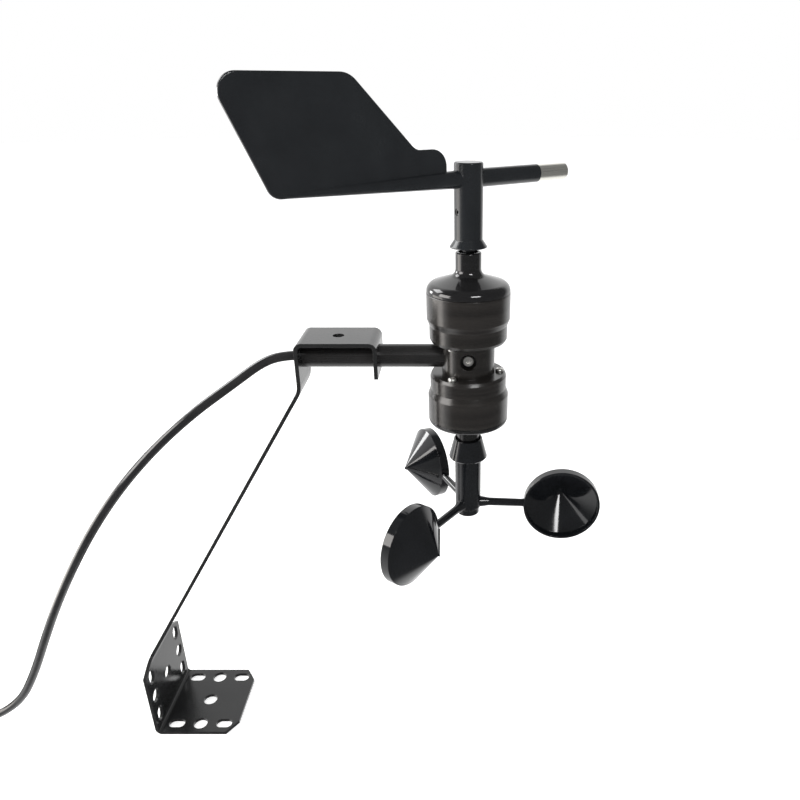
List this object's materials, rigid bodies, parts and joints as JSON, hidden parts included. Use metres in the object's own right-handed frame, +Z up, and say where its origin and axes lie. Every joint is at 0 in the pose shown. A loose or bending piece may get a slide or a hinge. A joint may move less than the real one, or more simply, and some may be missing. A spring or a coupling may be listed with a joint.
{
  "type": "wind sensor",
  "caption": "Wind sensor with a vane above and a rotor of conical cups below a round body, on an arm tube and a folded, slotted bracket, with a coiled lead.",
  "frame": {"origin": "centre of the foot's hole pattern, on the underside of the foot", "axes": "+Z up along the foot's bolts and the sensor's axis, +X from the foot to the sensor, +Y to the rear"},
  "size_m": [0.4765, 0.1341, 0.3748],
  "materials": {
    "bracket_coat": "semi-gloss black powder coat",
    "black_anodised": "turned, black anodised",
    "black_polished": "smooth turned, black anodised, glossy",
    "vane_plastic": "moulded black, fine satin",
    "cup_plastic": "moulded black, glossy",
    "weight_nickel": "bright nickel plated, turned",
    "steel": "stainless, turned",
    "black_steel": "black oxide",
    "bearing_steel": "ground and polished",
    "magnet_nickel": "nickel plated magnet",
    "brass": "turned",
    "board_green": "solder mask",
    "chip_black": "moulded",
    "seal_rubber": "matt",
    "lead_sheath": "smooth black sheath, soft sheen",
    "core_insulation": "coloured insulation",
    "tie_strap": "woven hook and loop strap"
  },
  "bodies": {
    "mount_and_body": {"arm_lock_screw": "steel", "arm_tube": "black_anodised", "centre_body": "black_anodised", "lead_coil": "lead_sheath", "lead_coil_tie": "tie_strap", "lead_cores": "core_insulation", "lead_grommet": "seal_rubber", "lead_inside_arm": "lead_sheath", "lead_run": "lead_sheath", "lower_cap": "black_polished", "lower_cap_seal": "seal_rubber", "lower_flange_screws": "steel", "lower_flange_seal": "seal_rubber", "lower_housing": "black_anodised", "mounting_bracket": "bracket_coat", "rotor_board": "board_green", "rotor_board_chips_and_socket": "chip_black", "rotor_board_screws": "steel", "rotor_board_spacers": "brass", "rotor_inner_bearing_outer_ring": "bearing_steel", "rotor_outer_bearing_outer_ring": "bearing_steel", "rotor_wires": "core_insulation", "upper_cap": "black_polished", "upper_cap_seal": "seal_rubber", "upper_flange_screws": "steel", "upper_flange_seal": "seal_rubber", "upper_housing": "black_anodised", "vane_board": "board_green", "vane_board_chips_and_socket": "chip_black", "vane_board_screws": "steel", "vane_board_spacers": "brass", "vane_inner_bearing_outer_ring": "bearing_steel", "vane_outer_bearing_outer_ring": "bearing_steel", "vane_wires": "core_insulation"},
    "vane": {"vane_bearing_spacer": "brass", "vane_blade_and_hub": "vane_plastic", "vane_counterweight": "weight_nickel", "vane_grub_screw": "black_steel", "vane_inner_bearing_inner_ring": "bearing_steel", "vane_magnet": "magnet_nickel", "vane_magnet_holder": "brass", "vane_outer_bearing_inner_ring": "bearing_steel", "vane_shaft": "steel", "vane_shaft_clip": "steel"},
    "rotor": {"cup_front": "cup_plastic", "cup_rear": "cup_plastic", "cup_right": "cup_plastic", "rotor_bearing_spacer": "brass", "rotor_grub_screw": "black_steel", "rotor_hub_and_arms": "cup_plastic", "rotor_inner_bearing_inner_ring": "bearing_steel", "rotor_magnet": "magnet_nickel", "rotor_magnet_holder": "brass", "rotor_outer_bearing_inner_ring": "bearing_steel", "rotor_shaft": "steel", "rotor_shaft_clip": "steel"},
    "vane_ball_sets": {"vane_inner_bearing_balls": "bearing_steel", "vane_outer_bearing_balls": "bearing_steel"},
    "rotor_ball_sets": {"rotor_inner_bearing_balls": "bearing_steel", "rotor_outer_bearing_balls": "bearing_steel"}
  },
  "joints": [
    {"name": "vane_turn", "type": "hinge", "parent": "mount_and_body", "child": "vane", "pos_m": [0.1705, 0, 0.285], "axis": [0, 0, 1], "continuous": true},
    {"name": "rotor_turn", "type": "hinge", "parent": "mount_and_body", "child": "rotor", "pos_m": [0.1705, 0, 0.2], "axis": [0, 0, 1], "continuous": true},
    {"name": "vane_ball_set_turn", "type": "hinge", "parent": "mount_and_body", "child": "vane_ball_sets", "pos_m": [0.1705, 0, 0.285], "axis": [0, 0, 1], "continuous": true},
    {"name": "rotor_ball_set_turn", "type": "hinge", "parent": "mount_and_body", "child": "rotor_ball_sets", "pos_m": [0.1705, 0, 0.2], "axis": [0, 0, 1], "continuous": true}
  ],
  "couplings": [
    {"joint": "vane_ball_set_turn", "follows": "vane_turn", "ratio": 0.3947},
    {"joint": "rotor_ball_set_turn", "follows": "rotor_turn", "ratio": 0.3947}
  ]
}
